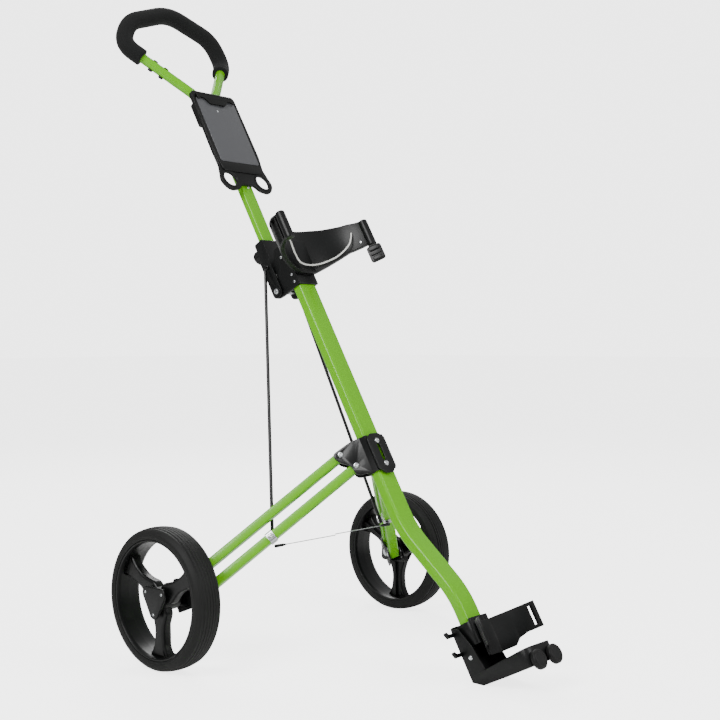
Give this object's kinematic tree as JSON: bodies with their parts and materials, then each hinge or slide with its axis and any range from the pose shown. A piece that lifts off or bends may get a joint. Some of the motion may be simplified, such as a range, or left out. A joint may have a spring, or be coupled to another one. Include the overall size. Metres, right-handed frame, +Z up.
{
  "type": "golf push trolley",
  "caption": "Folding push trolley for a golf bag: leaning tube shaft, swept-back parallel legs with spoked wheels, bag cradles, scorecard holder and looped foam handle.",
  "frame": {"origin": "on the ground under the middle of the whole trolley", "axes": "+Z up, -Y towards the bag side and the foot, +Y towards the user, +X towards the right wheel seen from behind"},
  "size_m": [0.664, 0.9342, 1.2258],
  "materials": {
    "green_enamel": "glossy lime-green stoved enamel on steel tube",
    "black_nylon": "black injection-moulded nylon, fine texture",
    "black_steel": "black powder-coated pressed steel",
    "foam": "black closed-cell foam sleeve",
    "tyre_rubber": "solid dark rubber, fine grooves",
    "pad_rubber": "soft black rubber",
    "smoked_panel": "dark grey glossy card panel",
    "zinc_steel": "bright zinc-plated steel",
    "elastic_cord": "white woven elastic cord"
  },
  "bodies": {
    "frame": {"main_tube": "green_enamel", "fold_bracket": "black_nylon", "fold_pivot_pin": "zinc_steel", "bag_cradle": "black_nylon", "cradle_cord": "elastic_cord", "strap_buckle": "black_nylon", "leg_bracket": "black_steel", "bracket_front_plate": "black_steel", "front_rivet_upper": "zinc_steel", "front_rivet_lower": "zinc_steel", "leg_pin_upper_left": "zinc_steel", "leg_pin_lower_left": "zinc_steel", "leg_pin_upper_right": "zinc_steel", "leg_pin_lower_right": "zinc_steel", "base_socket": "black_nylon", "base_foot": "black_nylon", "base_cradle": "black_nylon", "strap_hook_upper": "black_nylon", "strap_hook_lower": "black_nylon", "base_pad_left": "pad_rubber", "base_pad_right": "pad_rubber"},
    "handle": {"handle_tube": "green_enamel", "fold_yoke": "black_nylon", "handle_loop": "green_enamel", "loop_clamp": "black_nylon", "foam_grip": "foam", "tee_holder_lower": "black_nylon", "tee_holder_upper": "black_nylon", "card_holder": "black_nylon", "card_panel": "smoked_panel", "card_clip": "black_nylon", "rod_stud_left": "zinc_steel", "rod_stud_right": "zinc_steel"},
    "lock_knob": {"lock_knob": "black_nylon"},
    "leg_lower_left": {"leg_lower_left": "green_enamel", "rod_clip_left": "zinc_steel", "carrier_pin_left": "zinc_steel"},
    "leg_upper_left": {"leg_upper_left": "green_enamel"},
    "carrier_left": {"wheel_carrier_left": "black_steel", "axle_left": "zinc_steel"},
    "wheel_left": {"tyre_left": "tyre_rubber", "rim_left": "black_nylon", "hub_cap_left": "black_nylon"},
    "push_rod_left": {"push_rod_left": "black_steel"},
    "cable_left": {"spreader_cable_left": "zinc_steel"},
    "leg_lower_right": {"leg_lower_right": "green_enamel", "rod_clip_right": "zinc_steel", "carrier_pin_right": "zinc_steel"},
    "leg_upper_right": {"leg_upper_right": "green_enamel"},
    "carrier_right": {"wheel_carrier_right": "black_steel", "axle_right": "zinc_steel"},
    "wheel_right": {"tyre_right": "tyre_rubber", "rim_right": "black_nylon", "hub_cap_right": "black_nylon"},
    "push_rod_right": {"push_rod_right": "black_steel"},
    "cable_right": {"spreader_cable_right": "zinc_steel"}
  },
  "joints": [
    {"name": "handle_fold", "type": "hinge", "parent": "frame", "child": "handle", "pos_m": [0, 0.11113, 0.64042], "axis": [-1, 0, 0], "range_deg": [0, 155]},
    {"name": "lock_knob_turn", "type": "hinge", "parent": "handle", "child": "lock_knob", "pos_m": [0, 0.17291, 0.71223], "axis": [0, 0.8682, -0.4962], "range_deg": [0, 360]},
    {"name": "leg_lower_left_fold", "type": "hinge", "parent": "frame", "child": "leg_lower_left", "pos_m": [-0.03, -0.08647, 0.32995], "axis": [-0.7278, -0.5954, 0.3403], "range_deg": [0, 60.05]},
    {"name": "leg_upper_left_fold", "type": "hinge", "parent": "frame", "child": "leg_upper_left", "pos_m": [-0.04269, -0.06094, 0.34749], "axis": [-0.7278, -0.5954, 0.3403], "range_deg": [0, 60.05]},
    {"name": "carrier_left_tilt", "type": "hinge", "parent": "leg_lower_left", "child": "carrier_left", "pos_m": [-0.24649, 0.06193, 0.12665], "axis": [0.7278, 0.5954, -0.3403], "range_deg": [0, 60.05]},
    {"name": "wheel_left_spin", "type": "hinge", "parent": "carrier_left", "child": "wheel_left", "pos_m": [-0.3055, 0.0995, 0.12], "axis": [1, 0, 0], "continuous": true},
    {"name": "push_rod_left_swing", "type": "hinge", "parent": "leg_lower_left", "child": "push_rod_left", "pos_m": [-0.14232, 0.00792, 0.20819], "axis": [0.7033, 0.6284, -0.3324], "range_deg": [0, 41.94]},
    {"name": "cable_left_slack", "type": "hinge", "parent": "leg_lower_left", "child": "cable_left", "pos_m": [-0.15244, -0.00914, 0.19923], "axis": [0, 0.896, 0.444], "range_deg": [0, 128.09]},
    {"name": "leg_lower_right_fold", "type": "hinge", "parent": "frame", "child": "leg_lower_right", "pos_m": [0.03, -0.08647, 0.32995], "axis": [-0.7278, 0.5954, -0.3403], "range_deg": [0, 60.05]},
    {"name": "leg_upper_right_fold", "type": "hinge", "parent": "frame", "child": "leg_upper_right", "pos_m": [0.04269, -0.06094, 0.34749], "axis": [-0.7278, 0.5954, -0.3403], "range_deg": [0, 60.05]},
    {"name": "carrier_right_tilt", "type": "hinge", "parent": "leg_lower_right", "child": "carrier_right", "pos_m": [0.24649, 0.06193, 0.12665], "axis": [0.7278, -0.5954, 0.3403], "range_deg": [0, 60.05]},
    {"name": "wheel_right_spin", "type": "hinge", "parent": "carrier_right", "child": "wheel_right", "pos_m": [0.3055, 0.0995, 0.12], "axis": [1, 0, 0], "continuous": true},
    {"name": "push_rod_right_swing", "type": "hinge", "parent": "leg_lower_right", "child": "push_rod_right", "pos_m": [0.14232, 0.00792, 0.20819], "axis": [0.7033, -0.6284, 0.3324], "range_deg": [0, 41.94]},
    {"name": "cable_right_slack", "type": "hinge", "parent": "leg_lower_right", "child": "cable_right", "pos_m": [0.15244, -0.00645, 0.20056], "axis": [0, -0.896, -0.444], "range_deg": [0, 128.09]}
  ],
  "couplings": [
    {"joint": "leg_lower_left_fold", "follows": "handle_fold", "ratio": 0.3871},
    {"joint": "leg_upper_left_fold", "follows": "handle_fold", "ratio": 0.3871},
    {"joint": "carrier_left_tilt", "follows": "handle_fold", "ratio": 0.3871},
    {"joint": "push_rod_left_swing", "follows": "handle_fold", "ratio": 0.27024},
    {"joint": "cable_left_slack", "follows": "handle_fold", "ratio": 0.82603},
    {"joint": "leg_lower_right_fold", "follows": "handle_fold", "ratio": 0.3871},
    {"joint": "leg_upper_right_fold", "follows": "handle_fold", "ratio": 0.3871},
    {"joint": "carrier_right_tilt", "follows": "handle_fold", "ratio": 0.3871},
    {"joint": "push_rod_right_swing", "follows": "handle_fold", "ratio": 0.27024},
    {"joint": "cable_right_slack", "follows": "handle_fold", "ratio": 0.82603}
  ]
}
